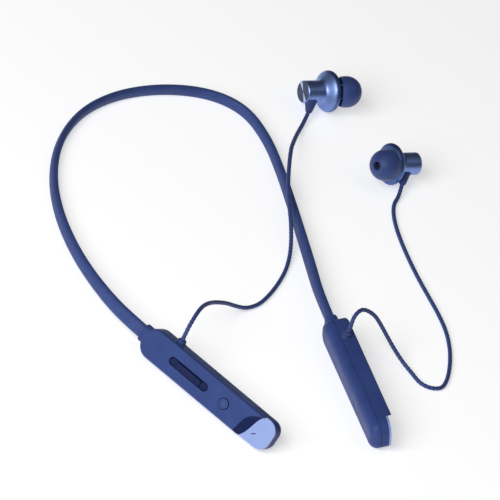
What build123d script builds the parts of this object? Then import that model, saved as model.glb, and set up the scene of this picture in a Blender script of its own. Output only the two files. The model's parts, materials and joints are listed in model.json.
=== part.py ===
from build123d import *
import math
import os

# Neckband earphones, lying on a table. Millimetres, +Z up, the table at Z = 0.
# X runs from the control pod to the battery pod, Y from the pods' tips to the back
# of the neck. Plan positions are about the point midway between the two pods' band
# ends; SHIFT then moves everything, so the origin is under the middle of the object.
SHIFT = Location((-44.6, -35.4, 0))

# ------------------------------------------------------------------ driving dimensions
POD_LENGTH = 65.5       # band end to tip
POD_WIDTH = 12.2        # across the face with the keys
POD_DEPTH = 10.0        # face to rounded back
POD_CONVERGE = 16.1     # degrees that each pod turns inwards, towards its tip
POD_LEAN = 20.4         # degrees that each face looks upwards
POD_HEIGHT = 6.15       # pod axis above the table; the flat land is cut at this depth
BAND_END_R = 5.4        # face outline corners at the band
TIP_R = 4.5             # face outline corners at the tip
FACE_EDGE_R = 1.1       # edge between face and sides
BACK_EDGE_R = 3.4       # edge between sides and back
WALL = 1.3
SEAM_Y = 1.0            # where the face shell meets the back shell
SEAM_GROOVE = 0.25
BAND_ENDS = {-1: (-42.7, 3.8, POD_HEIGHT), 1: (42.4, -3.8, POD_HEIGHT)}
PODS = {-1: "control_pod", 1: "battery_pod"}

FACET_DEPTH = 1.6       # step from the face down to the accent facet
FACET_SLOPE = 3.0       # degrees that the facet falls towards the tip
PLATE_T = 0.8
STEP_TOP = [(50.3, -6.8), (51.8, -1.8), (53.0, 1.8), (55.6, 4.2), (60.5, 6.8)]
STEP_FOOT = [(52.8, -6.8), (55.6, -2.2), (56.6, 1.6), (57.7, 4.4), (60.5, 6.8)]
MIC_X, MIC_Z = 58.3, -2.0

ROCKER_X = 23.85        # middle of the volume rocker, from the band end
ROCKER_LENGTH = 18.9
ROCKER_WIDTH = 2.8
ROCKER_PIVOT_Y = -3.32
KEY_GAP = 0.3           # all round each key, in its hole
KEY_UNDERSIDE_Y = -3.3
BUTTON_X = 42.3
BUTTON_R = 2.0
BUTTON_PROUD = 0.45

BOARD_TOP_Y = -0.6
BOARD_T = 0.8
CARRIER_TOP_Y = -2.75
CARRIER_T = 0.4
SWITCH_STEM_R = 0.6
SWITCHES_X = (ROCKER_X - 7.2, ROCKER_X + 7.2, BUTTON_X)
PORT_X = 31.0           # USB-C receptacle in the underside
PORT_SIZE = (8.94, 3.2, 7.3)

GROMMET_AT = (13.0, -1.2, POD_WIDTH / 2)
GROMMET_TOP = 2.0
COLLAR_SIZE = (5.2, 7.4)
COLLAR_OUT = 2.6
COLLAR_IN = 3.2

BAND_SIZE = (3.5, 5.4)
BORE_CLEARANCE = 0.05
WIRE_R, WIRE_RISE = 0.45, 1.25
LINK_R, LINK_RISE = 0.75, -0.85
BAND_ROUTE = [
    (-45.9, 15.0, 6.0), (-46.3, 33.5, 5.2), (-43.1, 54.5, 4.0), (-35.9, 76.5, 3.1),
    (-25.0, 97.0, 2.75), (-9.6, 115.3, 2.7), (10.5, 129.4, 2.7), (32.8, 136.4, 2.7),
    (56.0, 136.8, 2.7), (76.0, 131.0, 2.7), (86.0, 119.5, 2.7), (84.8, 102.0, 2.7),
    (79.0, 84.5, 2.8), (71.3, 66.3, 3.5), (62.6, 47.0, 4.6), (54.6, 29.0, 5.5),
    (47.0, 11.8, 6.0),
]

DISC_R = 8.1            # earbud body; it rests on this rim
DISC_FRONT = 2.6
BARREL_R = 4.35
BARREL_REAR = -11.7     # rear end, from the disc's middle
BARREL_WALL = 0.85
BUD_SEAM = -1.0
DRIVER_R = 5.95
CAP_R, CAP_T = 4.05, 0.6
NOZZLE_R = 2.4
NOZZLE_BORE_R = 1.6
NOZZLE_TILT = 20.0      # degrees off the bud's axis
TIP_SEAT = (5.4, 0, 4.2)
TIP_BALL_R = 6.1
TIP_FIT = 0.05          # radial, ear tip on nozzle
BUD_ROLL_UP = 0.605     # rise of the direction that the nozzle leans to
BUD_YAW = 7.0
BUDS = {-1: "left", 1: "right"}
BUD_CENTRES = {-1: (123.5, 118.2, DISC_R), 1: (125.0, 75.1, DISC_R)}
RELIEF_SEATS = {-1: 6.8, 1: 7.6}
RELIEF_DIR = Vector(-0.55, -0.70, -0.455).normalized()
RELIEF_START, RELIEF_END = 4.0, 9.2

CORD_D = 1.7
CORD_STAND = 2.8        # straight stretch out of each grommet
CORD_LANDING = 5.5      # straight stretch into each strain relief
CORD_ROUTES = {
    -1: [
        (-37.0, -7.5, 19.9), (-34.6, -5.8, 22.0), (-30.9, -3.1, 22.6), (-25.6, 0.6, 21.4),
        (-19.4, 4.4, 18.6), (-12.6, 8.2, 15.0), (-5.3, 11.3, 11.3), (2.0, 13.9, 7.5),
        (9.0, 15.3, 3.8),
        (15.6, 15.8, 1.3), (23.2, 17.3, 0.95), (31.6, 21.8, 0.95), (40.2, 27.6, 0.95),
        (48.6, 34.4, 0.95), (55.2, 42.2, 2.5), (59.7, 51.2, 6.5), (64.0, 61.2, 9.4),
        (70.4, 71.6, 10.0), (83.0, 87.6, 10.0), (91.0, 95.6, 6.8), (100.3, 102.6, 2.3),
    ],
    1: [
        (39.1, -15.5, 19.8), (41.9, -14.4, 21.8), (45.8, -13.2, 21.8), (50.3, -13.5, 19.1),
        (54.8, -14.7, 14.4), (59.0, -16.6, 9.4), (62.8, -19.3, 4.8), (65.4, -23.8, 1.7),
        (66.4, -29.2, 0.95), (66.3, -34.4, 0.95), (68.2, -37.5, 0.95), (71.5, -39.1, 0.95),
        (75.2, -38.8, 0.95), (80.4, -34.6, 0.95), (86.1, -28.1, 0.95), (91.9, -19.9, 0.95),
        (96.7, -10.5, 0.95), (99.6, -0.8, 0.95),
        (101.6, 9.6, 0.95), (104.0, 21.6, 0.95), (107.5, 34.6, 0.95), (111.4, 46.2, 0.95),
        (115.6, 55.0, 0.95), (120.0, 60.9, 0.95),
    ],
}
ARC_SHARE = 0.45        # share of the shorter run that an arc takes at each corner


# ------------------------------------------------------------------ places and paths
def pod_plane(side):
    """A pod's own frame: x to the tip, z out of the side that the cord leaves."""
    turn = math.radians(POD_CONVERGE)
    lean = math.radians(POD_LEAN)
    axis = Vector(-side * math.sin(turn), -math.cos(turn), 0)
    outward = Vector(side * math.cos(turn), -math.sin(turn), 0)
    cord_side = outward * -math.sin(lean) + Vector(0, 0, math.cos(lean))
    return Plane(origin=BAND_ENDS[side], x_dir=axis, z_dir=cord_side)


def pod_point(side, x, y, z):
    """A point given in the control pod's frame; the battery pod mirrors it."""
    return pod_plane(side).from_local_coords(Vector(x, -side * y, z))


def in_pod(side, shape):
    """Place a shape drawn in the control pod's frame; the battery pod mirrors it."""
    if side > 0:
        shape = mirror(shape, about=Plane.XZ)
    return pod_plane(side).location * shape


def bud_forward(side):
    """The direction from an earbud's rear cap to its front."""
    yaw = math.radians(BUD_YAW)
    return Vector(math.cos(yaw), -math.sin(yaw), 0) * -side


def bud_plane(side):
    """An earbud's own frame: x forward, z to where the nozzle leans."""
    forward = bud_forward(side)
    level = Vector(0, 0, 1).cross(forward) * side
    across = level * math.sqrt(1 - BUD_ROLL_UP ** 2) + Vector(0, 0, BUD_ROLL_UP)
    return Plane(origin=BUD_CENTRES[side], x_dir=forward, z_dir=across)


def in_bud(side, shape):
    return bud_plane(side).location * shape


def relief_point(side, distance):
    """A point on the axis of an earbud's strain relief."""
    seat = Vector(*BUD_CENTRES[side]) - bud_forward(side) * RELIEF_SEATS[side]
    return seat + RELIEF_DIR * distance


def rounded_path(points):
    """Straight runs joined by the largest tangent arcs that they have room for."""
    points = [Vector(*point) for point in points]
    radii = []
    for before, corner, after in zip(points, points[1:], points[2:]):
        run_in = corner - before
        run_out = after - corner
        half_turn = math.radians(run_in.get_angle(run_out)) / 2
        radii.append(ARC_SHARE * min(run_in.length, run_out.length) / math.tan(half_turn))
    return FilletPolyline(*points, radius=radii), radii


def start_plane(path, x_dir):
    """The plane across the start of a path."""
    return Plane(origin=path @ 0, x_dir=x_dir, z_dir=path % 0)


def box(x, y, z):
    """A box from its limits along each axis."""
    middle = [(low + high) / 2 for low, high in (x, y, z)]
    return Pos(*middle) * Box(x[1] - x[0], y[1] - y[0], z[1] - z[0])


def rod_y(x, z, radius, y_low, y_high):
    """A cylinder through the pod's depth."""
    height = y_high - y_low
    return Pos(x, (y_low + y_high) / 2, z) * Rot(90, 0, 0) * Cylinder(radius, height)


# ------------------------------------------------------------------ pod casings
def face_plane(y):
    """A plane across the pod's depth, seen from the face: x to the tip, y to the cord side."""
    return Plane(origin=(0, y, 0), x_dir=(1, 0, 0), z_dir=(0, -1, 0))


def pod_form(inset=0.0):
    """The smooth outer form of a pod, or the same form shrunk on every side."""
    length, width, depth = (size - 2 * inset for size in (POD_LENGTH, POD_WIDTH, POD_DEPTH))
    outline = Rectangle(length, width)
    outline = fillet(outline.vertices().group_by(Axis.X)[0], BAND_END_R - inset)
    outline = fillet(outline.vertices().group_by(Axis.X)[-1], TIP_R - inset)
    outline = face_plane(-depth / 2) * Pos(POD_LENGTH / 2, 0) * outline
    form = extrude(outline, amount=-depth)
    form = fillet(form.faces().sort_by(Axis.Y)[0].edges(), FACE_EDGE_R)
    form = fillet(form.faces().sort_by(Axis.Y)[-1].edges(), BACK_EDGE_R - inset)
    lean = math.radians(POD_LEAN)
    up = Vector(0, -math.sin(lean), math.cos(lean))
    land = Plane(origin=up * (inset - POD_HEIGHT), z_dir=up)
    return split(form, bisect_by=land, keep=Keep.TOP)


def beyond(points):
    """The flat outline of all that lies past a curve drawn across the face."""
    far = POD_LENGTH + 3
    curve = Spline(*points)
    rest = Polyline(points[-1], (far, points[-1][1]), (far, points[0][1]), points[0])
    return make_face(curve.edges() + rest.edges())


def facet_face():
    """The accent facet's outline, in its own slightly falling plane."""
    slope = math.radians(FACET_SLOPE)
    origin = (0, FACET_DEPTH - POD_DEPTH / 2 - STEP_FOOT[1][0] * math.sin(slope), 0)
    x_dir = (math.cos(slope), math.sin(slope), 0)
    plane = Plane(origin=origin, x_dir=x_dir, z_dir=(math.sin(slope), -math.cos(slope), 0))
    return plane * beyond(STEP_FOOT)


def facet_cut():
    """What is taken off the tip: a curved step down to the facet."""
    top = face_plane(-POD_DEPTH / 2) * beyond(STEP_TOP)
    step = loft([top, facet_face()], ruled=True)
    return step + extrude(top, amount=1.0)


def facet_slab():
    return extrude(facet_face(), amount=-PLATE_T)


def seam_groove():
    """The fine line round the pod where its two shells meet."""
    slice_at_seam = box((-1, 70), (SEAM_Y - 0.15, SEAM_Y + 0.15), (-10, 10))
    return (pod_form() & slice_at_seam) - pod_form(SEAM_GROOVE)


def pod_cavity():
    """The room inside, shallower under the facet."""
    return pod_form(WALL) - box((48.5, 70), (-6, -1.6), (-8, 8))


def slot_hole():
    slot = SlotOverall(ROCKER_LENGTH + 2 * KEY_GAP, ROCKER_WIDTH + 2 * KEY_GAP)
    return extrude(face_plane(-POD_DEPTH / 2) * Pos(ROCKER_X, 0) * slot, amount=2, both=True)


def port_room():
    length, height, depth = PORT_SIZE
    mouth = Rectangle(length, height)
    mouth = fillet(mouth.vertices(), height / 2 - 0.05)
    plane = Plane(origin=(PORT_X, BOARD_TOP_Y + BOARD_T + height / 2, -POD_WIDTH / 2))
    return extrude(plane * mouth, amount=depth), extrude(plane * mouth, amount=1, both=True)


def pod_shells(side):
    """Face shell and back shell of one pod, in the row's frame."""
    casing = pod_form() - facet_cut() - facet_slab() - pod_cavity() - seam_groove()
    if side < 0:
        casing -= slot_hole()
        casing -= rod_y(BUTTON_X, 0, BUTTON_R + KEY_GAP, -7, -3)
        casing -= rod_y(MIC_X, MIC_Z, 0.5, -4, -1)
        for room in port_room():
            casing -= room
    seam = Plane(origin=(0, SEAM_Y, 0), z_dir=(0, 1, 0))
    back = split(casing, bisect_by=seam, keep=Keep.TOP)
    face = split(casing, bisect_by=seam, keep=Keep.BOTTOM)
    fittings = [grommet(side), collar_blank(side)]
    shells = []
    for shell in (face, back):
        shell = in_pod(side, shell)
        for fitting in fittings:
            shell -= fitting
        shells.append(shell)
    return shells


def accent_plate(side):
    """The pale facet at the tip; the control pod's has the microphone slit."""
    plate = pod_form() & facet_slab()
    if side < 0:
        slit = Pos(MIC_X, -3, MIC_Z) * Rot(0, -35, 0) * Box(1.9, 3, 0.4)
        plate -= slit
    return in_pod(side, plate)


def grommet(side):
    """Rubber cord exit, moulded on the cord; upright when the pod lies on its land."""
    profile = Polyline(
        (0, -1.7), (1.5, -1.7), (1.5, -0.7), (1.95, -0.7), (1.95, 0.55), (1.6, 0.75),
        (1.15, GROMMET_TOP), (0, GROMMET_TOP), (0, -1.7),
    )
    body = revolve(Plane.XZ * make_face(profile.edges()), axis=Axis.Z)
    base = pod_point(side, *GROMMET_AT)
    return Pos(*base) * body


def collar_blank(side):
    """The outer form of the ferrule that joins the band to a pod."""
    oval = RectangleRounded(*COLLAR_SIZE, COLLAR_SIZE[0] / 2 - 0.05)
    ring = extrude(Plane.YZ * oval, amount=COLLAR_IN) + extrude(Plane.YZ * oval, amount=-COLLAR_OUT)
    ring = fillet(ring.faces().sort_by(Axis.X)[0].edges(), 0.5)
    return in_pod(side, ring)


# ------------------------------------------------------------------ keys and electronics
def volume_rocker():
    """A long key with a raised convex middle, on a cross pin."""
    bar = face_plane(KEY_UNDERSIDE_Y) * Pos(ROCKER_X, 0) * SlotOverall(ROCKER_LENGTH, ROCKER_WIDTH)
    bar = extrude(bar, amount=1.6)
    bar = fillet(bar.faces().sort_by(Axis.Y)[0].edges(), 0.3)
    crown = face_plane(-4.7) * Pos(ROCKER_X, 0) * Rectangle(12.6, ROCKER_WIDTH - 0.1)
    crown = extrude(crown, amount=0.95)
    crown = fillet(crown.faces().sort_by(Axis.Y)[0].edges(), 0.7)
    pin = Pos(ROCKER_X, ROCKER_PIVOT_Y, 0) * Cylinder(0.32, 4.4)
    return bar + crown + pin


def multifunction_button():
    """A round key with a rim and a dished centre, held in by a flange."""
    top = -POD_DEPTH / 2 - BUTTON_PROUD
    cap = rod_y(BUTTON_X, 0, BUTTON_R, top, KEY_UNDERSIDE_Y)
    cap = fillet(cap.faces().sort_by(Axis.Y)[0].edges(), 0.35)
    flange = rod_y(BUTTON_X, 0, BUTTON_R + 0.65, KEY_UNDERSIDE_Y - 0.3, KEY_UNDERSIDE_Y)
    groove = rod_y(BUTTON_X, 0, 1.4, top - 1, top + 0.22)
    dish = rod_y(BUTTON_X, 0, 1.1, top - 1, top + 1)
    return (cap + flange) - (groove - dish)


def key_carrier():
    """The clip-in bridge that the keys rock on, over the switches."""
    high = CARRIER_TOP_Y + CARRIER_T
    plate = box((12, 46.5), (CARRIER_TOP_Y, high), (-3.3, 3.3))
    plate += box((12, 13), (high, BOARD_TOP_Y), (-3.3, 3.3))
    plate += box((45.5, 46.5), (high, BOARD_TOP_Y), (-3.3, 3.3))
    ridge_top = ROCKER_PIVOT_Y + 0.32 + 0.04
    plate += box((ROCKER_X - 0.3, ROCKER_X + 0.3), (ridge_top, CARRIER_TOP_Y), (-1.3, 1.3))
    for x in SWITCHES_X:
        plate -= rod_y(x, 0, SWITCH_STEM_R + 0.3, CARRIER_TOP_Y - 1, high + 1)
    return plate


def tact_switches():
    """One dome switch under each end of the rocker and one under the button."""
    body_top = BOARD_TOP_Y - 1.5
    switches = []
    for x in SWITCHES_X:
        body = box((x - 1.5, x + 1.5), (body_top, BOARD_TOP_Y), (-1.3, 1.3))
        switches.append(body + rod_y(x, 0, SWITCH_STEM_R, body_top - 0.75, body_top))
    return Compound(children=switches)


def control_board():
    """Circuit board, on two ribs of the back shell."""
    return box((6, 60.5), (BOARD_TOP_Y, BOARD_TOP_Y + BOARD_T), (-4.2, 3.9))


def bluetooth_module():
    """Shielded radio chip on the back of the board."""
    back = BOARD_TOP_Y + BOARD_T
    can = box((12, 23), (back, back + 1.6), (-3.6, 3.6))
    return fillet(can.faces().sort_by(Axis.Y)[-1].edges(), 0.3)


def microphone():
    """Sound port up, under the slit in the facet."""
    body = box((MIC_X - 1.4, MIC_X + 1.4), (BOARD_TOP_Y - 0.9, BOARD_TOP_Y), (MIC_Z - 1.0, MIC_Z + 1.0))
    return body - rod_y(MIC_X, MIC_Z, 0.25, BOARD_TOP_Y - 1, BOARD_TOP_Y - 0.3)


def status_led():
    """Lights the microphone slit from beside the microphone."""
    return box((MIC_X - 0.5, MIC_X + 0.5), (BOARD_TOP_Y - 0.6, BOARD_TOP_Y), (0.2, 1.2))


def charging_port():
    """USB-C receptacle: a thin can with the contact tongue inside."""
    can, _ = port_room()
    length, height, depth = PORT_SIZE
    centre_y = BOARD_TOP_Y + BOARD_T + height / 2
    inner = fillet(Rectangle(length - 0.6, height - 0.6).vertices(), height / 2 - 0.35)
    low = -POD_WIDTH / 2
    hollow = extrude(Plane(origin=(PORT_X, centre_y, low)) * inner, amount=depth - 0.8)
    tongue = box((PORT_X - 3.3, PORT_X + 3.3), (centre_y - 0.35, centre_y + 0.35), (low + 1, low + depth))
    return (can - hollow + tongue) & pod_form(0.2)


def board_ribs(reach_y):
    """Ribs that stand on a pod's back wall and carry what is inside."""
    ribs = []
    for x in (8.5, 45.0):
        ribs.append(box((x - 0.6, x + 0.6), (reach_y, POD_DEPTH / 2 - WALL + 0.2), (-2.4, 2.4)))
    return ribs


def battery_cell():
    cell = box((7, 45), (-2.6, 2.4), (-4.0, 3.6))
    return fillet(cell.edges().filter_by(Axis.X), 0.9)


def battery_foam_pad():
    """Keeps the cell from rattling against the back shell."""
    return box((11, 42), (2.4, POD_DEPTH / 2 - WALL), (-2.2, 2.2))


def battery_protection_board():
    return box((46.5, 57), (-0.7, -0.1), (-3.8, 3.8)) + box((48, 51), (-0.1, 0.8), (-1.5, 1.5))


# ------------------------------------------------------------------ band
def along_band(section):
    """Sweep an upright section from inside one collar to inside the other."""
    ends = [pod_point(side, COLLAR_IN, 0, 0) for side in (-1, 1)]
    path, _ = rounded_path([ends[0], *BAND_ROUTE, ends[1]])
    across = (path % 0).cross(Vector(0, 0, 1))
    return sweep(start_plane(path, across) * section, path=path)


def neckband_sleeve():
    """Silicone band: an upright oval with a bore for the wire and one for the cable."""
    oval = Ellipse(BAND_SIZE[0] / 2, BAND_SIZE[1] / 2)
    oval -= Pos(0, WIRE_RISE) * Circle(WIRE_R + BORE_CLEARANCE)
    oval -= Pos(0, LINK_RISE) * Circle(LINK_R + BORE_CLEARANCE)
    return along_band(oval)


def memory_wire():
    """Spring-steel core that holds the band's curve."""
    return along_band(Pos(0, WIRE_RISE) * Circle(WIRE_R))


def band_link_cable():
    """Power and signal between the two pods."""
    return along_band(Pos(0, LINK_RISE) * Circle(LINK_R))


def collar(side):
    """Ferrule with the band's oval through it."""
    return collar_blank(side) - along_band(Ellipse(BAND_SIZE[0] / 2, BAND_SIZE[1] / 2))


# ------------------------------------------------------------------ earbuds
def turned(*edges):
    """A solid of revolution about the bud's axis, from edges drawn as (x, radius)."""
    outline = ShapeList()
    for edge in edges:
        outline += edge.edges()
    return revolve(make_face(outline), axis=Axis.X)


def bud_form():
    """Rounded disc that flows into the barrel."""
    front = Spline((DISC_FRONT, 2.2), (1.7, 6.4), (0, DISC_R), tangents=((0, 1), (-1, 0)))
    rear = Spline(
        (0, DISC_R), (-2.0, 6.9), (-3.0, 5.5), (-4.9, BARREL_R), tangents=((-1, 0), (-1, 0))
    )
    rest = Polyline(
        (-4.9, BARREL_R), (BARREL_REAR + 0.25, BARREL_R), (BARREL_REAR, BARREL_R - 0.25),
        (BARREL_REAR, 0), (DISC_FRONT, 0), (DISC_FRONT, 2.2),
    )
    return turned(front, rear, rest)


def rod_x(radius, low, high):
    """A cylinder on the bud's axis."""
    return Pos((low + high) / 2, 0, 0) * Rot(0, 90, 0) * Cylinder(radius, high - low)


def bud_rooms():
    """Driver room in the disc and the hollow of the barrel, open for the rear cap."""
    rooms = rod_x(DRIVER_R + 0.05, -1.6, 1.4)
    rooms += rod_x(BARREL_R - BARREL_WALL, BARREL_REAR, -1.6)
    return rooms + rod_x(CAP_R, BARREL_REAR - 1, BARREL_REAR + CAP_T)


def nozzle_plane():
    """Frame at the middle of the ear tip: z out along the nozzle."""
    tilt = math.radians(NOZZLE_TILT)
    return Plane(origin=TIP_SEAT, x_dir=(0, 1, 0), z_dir=(math.cos(tilt), 0, math.sin(tilt)))


def nozzle_rod(radius, low, high):
    return nozzle_plane().location * Pos(0, 0, (low + high) / 2) * Cylinder(radius, high - low)


def front_housing(side):
    """Front of the disc with the angled nozzle."""
    body = split(bud_form(), bisect_by=Plane(origin=(BUD_SEAM, 0, 0), z_dir=(1, 0, 0)), keep=Keep.TOP)
    body += nozzle_rod(NOZZLE_R, -4.5, 3.4)
    body -= bud_rooms()
    body -= nozzle_rod(NOZZLE_BORE_R, -8, 5)
    return in_bud(side, body)


def rear_housing(side):
    """Rear of the disc and the barrel, with the hole for the strain relief."""
    body = split(bud_form(), bisect_by=Plane(origin=(BUD_SEAM, 0, 0), z_dir=(1, 0, 0)), keep=Keep.BOTTOM)
    body -= bud_rooms()
    return in_bud(side, body) - strain_relief(side)


def rear_cap(side):
    """Spun metal disc that closes the barrel; the buds clasp on it."""
    cap = rod_x(CAP_R, BARREL_REAR - 0.1, BARREL_REAR + CAP_T)
    return in_bud(side, fillet(cap.faces().sort_by(Axis.X)[0].edges(), 0.12))


def clasp_magnet(side):
    return in_bud(side, rod_x(2.7, BARREL_REAR + CAP_T, BARREL_REAR + CAP_T + 1.1))


def driver_unit(side):
    """Moving-coil driver: basket and magnet."""
    return in_bud(side, rod_x(DRIVER_R, -1.6, 0.6) + rod_x(3.0, -3.0, -1.6))


def diaphragm(side):
    """Thin dome with its surround, on the driver's front."""
    profile = Polyline(
        (0.6, 0), (0.6, 5.2), (0.8, 5.2), (0.8, 3.2), (1.15, 2.0), (1.25, 0.8), (1.25, 0), (0.6, 0)
    )
    return in_bud(side, turned(profile))


def nozzle_mesh(side):
    return in_bud(side, nozzle_rod(NOZZLE_BORE_R, 3.0, 3.3))


def ear_tip(side):
    """Silicone dome on a stem, open at the back, with the sound hole in front."""
    bore = NOZZLE_R + TIP_FIT
    ball = TIP_BALL_R
    outer = ThreePointArc((2.3, 5.65), (ball * 0.72, ball * 0.694), (ball, 0.0))
    skirt = Line((ball, 0.0), (ball - 0.3, -2.4))
    lip = Line((ball - 0.3, -2.4), (ball - 0.9, -2.4))
    inner_skirt = Line((ball - 0.9, -2.4), (ball - 0.7, 0.0))
    inner = ThreePointArc((ball - 0.7, 0.0), (4.75, 2.55), (3.1, 4.35))
    stem = Polyline(
        (3.1, 4.35), (3.1, -1.9), (bore, -1.9), (bore, 3.5), (1.5, 3.5), (1.5, 5.8), (2.3, 5.65)
    )
    outline = ShapeList()
    for edge in (outer, skirt, lip, inner_skirt, inner, stem):
        outline += edge.edges()
    tip = revolve(Plane.XZ * make_face(outline), axis=Axis.Z)
    return in_bud(side, nozzle_plane().location * tip)


def strain_relief(side):
    """Tapered rubber boot where the cord enters the barrel."""
    middle = relief_point(side, (RELIEF_START + RELIEF_END) / 2)
    plane = Plane(origin=middle, z_dir=RELIEF_DIR)
    return plane.location * Cone(1.75, 1.15, RELIEF_END - RELIEF_START)


# ------------------------------------------------------------------ cords
def cord(side):
    """One cord from its pod's grommet to its earbud's strain relief."""
    exit_point = pod_point(side, *GROMMET_AT) + Vector(0, 0, GROMMET_TOP)
    stand = exit_point + Vector(0, 0, CORD_STAND)
    landing = relief_point(side, RELIEF_END + CORD_LANDING)
    points = [exit_point, stand, *CORD_ROUTES[side], landing, relief_point(side, RELIEF_END)]
    path, radii = rounded_path(points)
    tube = sweep(start_plane(path, Vector(1, 0, 0)) * Circle(CORD_D / 2), path=path)
    expected = math.pi * CORD_D ** 2 / 4 * path.length
    print(f"{BUDS[side]} cord: length {path.length:.1f}, volume {tube.volume:.1f} of {expected:.1f}")
    print("  radii", [round(radius, 1) for radius in radii])
    print("  ends", [(round(p.X, 2), round(p.Y, 2), round(p.Z, 2)) for p in map(Vector, points[:2] + points[-2:])])
    return tube


# ------------------------------------------------------------------ the whole object
def build():
    parts = {}
    for side, pod in PODS.items():
        face, back = pod_shells(side)
        for rib in board_ribs(BOARD_TOP_Y + BOARD_T if side < 0 else 2.4):
            back += in_pod(side, rib)
        parts[f"{pod}_face_shell"] = face
        parts[f"{pod}_back_shell"] = back
        parts[f"{pod}_accent_plate"] = accent_plate(side)
        parts[f"{pod}_grommet"] = grommet(side)
        parts[f"{pod}_collar"] = collar(side)
    inside_control_pod = {
        "volume_rocker": volume_rocker,
        "multifunction_button": multifunction_button,
        "key_carrier": key_carrier,
        "tact_switches": tact_switches,
        "control_board": control_board,
        "bluetooth_module": bluetooth_module,
        "microphone": microphone,
        "status_led": status_led,
        "charging_port": charging_port,
    }
    for name, make in inside_control_pod.items():
        parts[name] = in_pod(-1, make())
    for make in (battery_cell, battery_foam_pad, battery_protection_board):
        parts[make.__name__] = in_pod(1, make())
    for make in (neckband_sleeve, memory_wire, band_link_cable):
        parts[make.__name__] = make()
    bud_pieces = (
        front_housing, rear_housing, rear_cap, clasp_magnet, driver_unit,
        diaphragm, nozzle_mesh, ear_tip, strain_relief, cord,
    )
    for side, bud in BUDS.items():
        for make in bud_pieces:
            parts[f"{bud}_{make.__name__}"] = make(side)
    return parts


os.makedirs("parts", exist_ok=True)
for name, shape in build().items():
    export_step(SHIFT * shape, f"parts/{name}.step")
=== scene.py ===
import json
import math

import bmesh
import bpy
import numpy as np
from mathutils import Matrix, Vector


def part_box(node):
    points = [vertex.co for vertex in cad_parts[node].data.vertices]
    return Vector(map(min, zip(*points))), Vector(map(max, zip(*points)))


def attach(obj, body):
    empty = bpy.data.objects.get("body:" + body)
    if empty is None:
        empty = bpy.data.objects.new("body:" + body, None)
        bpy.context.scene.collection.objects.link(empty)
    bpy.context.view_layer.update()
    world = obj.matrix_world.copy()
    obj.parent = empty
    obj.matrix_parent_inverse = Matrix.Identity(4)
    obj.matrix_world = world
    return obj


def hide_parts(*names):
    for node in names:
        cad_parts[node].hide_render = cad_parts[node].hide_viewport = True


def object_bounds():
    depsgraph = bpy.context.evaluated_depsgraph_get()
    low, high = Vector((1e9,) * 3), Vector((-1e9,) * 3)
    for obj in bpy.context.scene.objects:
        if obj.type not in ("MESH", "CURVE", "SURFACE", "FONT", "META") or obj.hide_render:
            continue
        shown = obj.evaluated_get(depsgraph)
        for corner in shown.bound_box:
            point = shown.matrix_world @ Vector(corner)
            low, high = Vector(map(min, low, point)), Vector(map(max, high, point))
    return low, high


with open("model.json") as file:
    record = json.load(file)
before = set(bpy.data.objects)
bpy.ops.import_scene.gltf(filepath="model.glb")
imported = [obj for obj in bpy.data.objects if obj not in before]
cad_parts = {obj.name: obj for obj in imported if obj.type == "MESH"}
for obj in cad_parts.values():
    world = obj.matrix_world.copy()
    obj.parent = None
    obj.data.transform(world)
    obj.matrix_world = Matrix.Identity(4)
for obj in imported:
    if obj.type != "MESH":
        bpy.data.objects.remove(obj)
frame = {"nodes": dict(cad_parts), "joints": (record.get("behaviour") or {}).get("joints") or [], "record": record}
CAD_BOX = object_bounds()
NODES = frame["nodes"]
RECORD = frame["record"]
MOUNTS = {mount["name"]: mount for mount in RECORD["mounts"]}
JOINTS = {joint["name"]: joint for joint in frame["joints"]}
MM = 0.001
UP = Vector((0, 0, 1))

# ------------------------------------------------------------------ the routes
# Plan positions in millimetres, about the point midway between the pods' band ends.
SHIFT = Vector((-44.6, -35.4, 0))
POD_CONVERGE = math.radians(16.1)
POD_LEAN = math.radians(20.4)
BAND_ENDS = {-1: Vector((-42.7, 3.8, 6.15)), 1: Vector((42.4, -3.8, 6.15))}
BAND_ROUTE = [
    (-45.9, 15.0, 6.0), (-46.3, 33.5, 5.2), (-43.1, 54.5, 4.0), (-35.9, 76.5, 3.1),
    (-25.0, 97.0, 2.75), (-9.6, 115.3, 2.7), (10.5, 129.4, 2.7), (32.8, 136.4, 2.7),
    (56.0, 136.8, 2.7), (76.0, 131.0, 2.7), (86.0, 119.5, 2.7), (84.8, 102.0, 2.7),
    (79.0, 84.5, 2.8), (71.3, 66.3, 3.5), (62.6, 47.0, 4.6), (54.6, 29.0, 5.5),
    (47.0, 11.8, 6.0),
]
CORD_D = 1.7
CORD_ANGLES = np.linspace(0, 2 * math.pi, 24, endpoint=False)
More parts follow.
